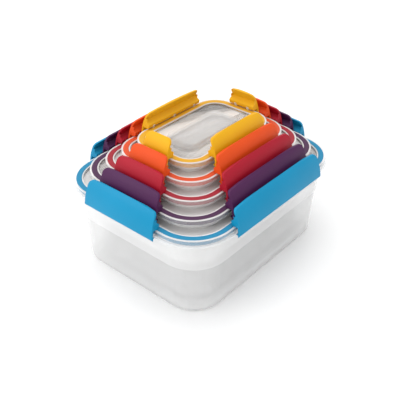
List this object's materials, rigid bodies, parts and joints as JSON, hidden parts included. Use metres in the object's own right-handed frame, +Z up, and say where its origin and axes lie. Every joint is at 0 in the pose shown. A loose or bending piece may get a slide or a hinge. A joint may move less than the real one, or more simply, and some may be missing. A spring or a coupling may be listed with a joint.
{
  "type": "nesting snap-lid food containers",
  "caption": "Nesting snap-lid food containers: clear tubs stored inside each other, clear lids stacked on top with coloured seals and lever clips.",
  "frame": {"origin": "centre of the base of the largest tub, on the surface it stands on", "axes": "+X along the long side, +Y along the short side towards the back, +Z up"},
  "size_m": [0.2574, 0.21, 0.1626],
  "materials": {
    "clear_tub": "translucent polypropylene, satin",
    "clear_lid": "clear gloss plastic",
    "blue_clip": "satin moulded plastic",
    "blue_seal": "soft matte silicone",
    "purple_clip": "satin moulded plastic",
    "purple_seal": "soft matte silicone",
    "red_clip": "satin moulded plastic",
    "red_seal": "soft matte silicone",
    "orange_clip": "satin moulded plastic",
    "orange_seal": "soft matte silicone",
    "yellow_clip": "satin moulded plastic",
    "yellow_seal": "soft matte silicone"
  },
  "bodies": {
    "nest": {"tub_blue": "clear_tub", "lid_blue": "clear_lid", "seal_blue": "blue_seal", "tub_purple": "clear_tub", "tub_red": "clear_tub", "tub_orange": "clear_tub", "tub_yellow": "clear_tub"},
    "clip_blue_front": {"clip_blue_front": "blue_clip"},
    "clip_blue_right": {"clip_blue_right": "blue_clip"},
    "clip_blue_back": {"clip_blue_back": "blue_clip"},
    "clip_blue_left": {"clip_blue_left": "blue_clip"},
    "lid_purple": {"lid_purple": "clear_lid", "seal_purple": "purple_seal"},
    "clip_purple_front": {"clip_purple_front": "purple_clip"},
    "clip_purple_right": {"clip_purple_right": "purple_clip"},
    "clip_purple_back": {"clip_purple_back": "purple_clip"},
    "clip_purple_left": {"clip_purple_left": "purple_clip"},
    "lid_red": {"lid_red": "clear_lid", "seal_red": "red_seal"},
    "clip_red_front": {"clip_red_front": "red_clip"},
    "clip_red_right": {"clip_red_right": "red_clip"},
    "clip_red_back": {"clip_red_back": "red_clip"},
    "clip_red_left": {"clip_red_left": "red_clip"},
    "lid_orange": {"lid_orange": "clear_lid", "seal_orange": "orange_seal"},
    "clip_orange_front": {"clip_orange_front": "orange_clip"},
    "clip_orange_right": {"clip_orange_right": "orange_clip"},
    "clip_orange_back": {"clip_orange_back": "orange_clip"},
    "clip_orange_left": {"clip_orange_left": "orange_clip"},
    "lid_yellow": {"lid_yellow": "clear_lid", "seal_yellow": "yellow_seal"},
    "clip_yellow_front": {"clip_yellow_front": "yellow_clip"},
    "clip_yellow_right": {"clip_yellow_right": "yellow_clip"},
    "clip_yellow_back": {"clip_yellow_back": "yellow_clip"},
    "clip_yellow_left": {"clip_yellow_left": "yellow_clip"}
  },
  "joints": [
    {"name": "clip_blue_front_hinge", "type": "hinge", "parent": "nest", "child": "clip_blue_front", "pos_m": [0, -0.0963, 0.1026], "axis": [-1, 0, 0], "range_deg": [0, 10]},
    {"name": "clip_blue_right_hinge", "type": "hinge", "parent": "nest", "child": "clip_blue_right", "pos_m": [0.12, 0, 0.1026], "axis": [0, -1, 0], "range_deg": [0, 10]},
    {"name": "clip_blue_back_hinge", "type": "hinge", "parent": "nest", "child": "clip_blue_back", "pos_m": [0, 0.0963, 0.1026], "axis": [1, 0, 0], "range_deg": [0, 10]},
    {"name": "clip_blue_left_hinge", "type": "hinge", "parent": "nest", "child": "clip_blue_left", "pos_m": [-0.12, 0, 0.1026], "axis": [0, 1, 0], "range_deg": [0, 10]},
    {"name": "lid_purple_lift", "type": "slide", "parent": "nest", "child": "lid_purple", "axis": [0, 0, 1], "range_m": [0, 0.04]},
    {"name": "clip_purple_front_hinge", "type": "hinge", "parent": "lid_purple", "child": "clip_purple_front", "pos_m": [0, -0.0829, 0.1132], "axis": [-1, 0, 0], "range_deg": [0, 10]},
    {"name": "clip_purple_right_hinge", "type": "hinge", "parent": "lid_purple", "child": "clip_purple_right", "pos_m": [0.1066, 0, 0.1132], "axis": [0, -1, 0], "range_deg": [0, 10]},
    {"name": "clip_purple_back_hinge", "type": "hinge", "parent": "lid_purple", "child": "clip_purple_back", "pos_m": [0, 0.0829, 0.1132], "axis": [1, 0, 0], "range_deg": [0, 10]},
    {"name": "clip_purple_left_hinge", "type": "hinge", "parent": "lid_purple", "child": "clip_purple_left", "pos_m": [-0.1066, 0, 0.1132], "axis": [0, 1, 0], "range_deg": [0, 10]},
    {"name": "lid_red_lift", "type": "slide", "parent": "lid_purple", "child": "lid_red", "axis": [0, 0, 1], "range_m": [0, 0.04]},
    {"name": "clip_red_front_hinge", "type": "hinge", "parent": "lid_red", "child": "clip_red_front", "pos_m": [0, -0.0695, 0.1238], "axis": [-1, 0, 0], "range_deg": [0, 10]},
    {"name": "clip_red_right_hinge", "type": "hinge", "parent": "lid_red", "child": "clip_red_right", "pos_m": [0.0932, 0, 0.1238], "axis": [0, -1, 0], "range_deg": [0, 10]},
    {"name": "clip_red_back_hinge", "type": "hinge", "parent": "lid_red", "child": "clip_red_back", "pos_m": [0, 0.0695, 0.1238], "axis": [1, 0, 0], "range_deg": [0, 10]},
    {"name": "clip_red_left_hinge", "type": "hinge", "parent": "lid_red", "child": "clip_red_left", "pos_m": [-0.0932, 0, 0.1238], "axis": [0, 1, 0], "range_deg": [0, 10]},
    {"name": "lid_orange_lift", "type": "slide", "parent": "lid_red", "child": "lid_orange", "axis": [0, 0, 1], "range_m": [0, 0.04]},
    {"name": "clip_orange_front_hinge", "type": "hinge", "parent": "lid_orange", "child": "clip_orange_front", "pos_m": [0, -0.0561, 0.1344], "axis": [-1, 0, 0], "range_deg": [0, 10]},
    {"name": "clip_orange_right_hinge", "type": "hinge", "parent": "lid_orange", "child": "clip_orange_right", "pos_m": [0.0798, 0, 0.1344], "axis": [0, -1, 0], "range_deg": [0, 10]},
    {"name": "clip_orange_back_hinge", "type": "hinge", "parent": "lid_orange", "child": "clip_orange_back", "pos_m": [0, 0.0561, 0.1344], "axis": [1, 0, 0], "range_deg": [0, 10]},
    {"name": "clip_orange_left_hinge", "type": "hinge", "parent": "lid_orange", "child": "clip_orange_left", "pos_m": [-0.0798, 0, 0.1344], "axis": [0, 1, 0], "range_deg": [0, 10]},
    {"name": "lid_yellow_lift", "type": "slide", "parent": "lid_orange", "child": "lid_yellow", "axis": [0, 0, 1], "range_m": [0, 0.04]},
    {"name": "clip_yellow_front_hinge", "type": "hinge", "parent": "lid_yellow", "child": "clip_yellow_front", "pos_m": [0, -0.0427, 0.145], "axis": [-1, 0, 0], "range_deg": [0, 10]},
    {"name": "clip_yellow_right_hinge", "type": "hinge", "parent": "lid_yellow", "child": "clip_yellow_right", "pos_m": [0.0664, 0, 0.145], "axis": [0, -1, 0], "range_deg": [0, 10]},
    {"name": "clip_yellow_back_hinge", "type": "hinge", "parent": "lid_yellow", "child": "clip_yellow_back", "pos_m": [0, 0.0427, 0.145], "axis": [1, 0, 0], "range_deg": [0, 10]},
    {"name": "clip_yellow_left_hinge", "type": "hinge", "parent": "lid_yellow", "child": "clip_yellow_left", "pos_m": [-0.0664, 0, 0.145], "axis": [0, 1, 0], "range_deg": [0, 10]}
  ]
}
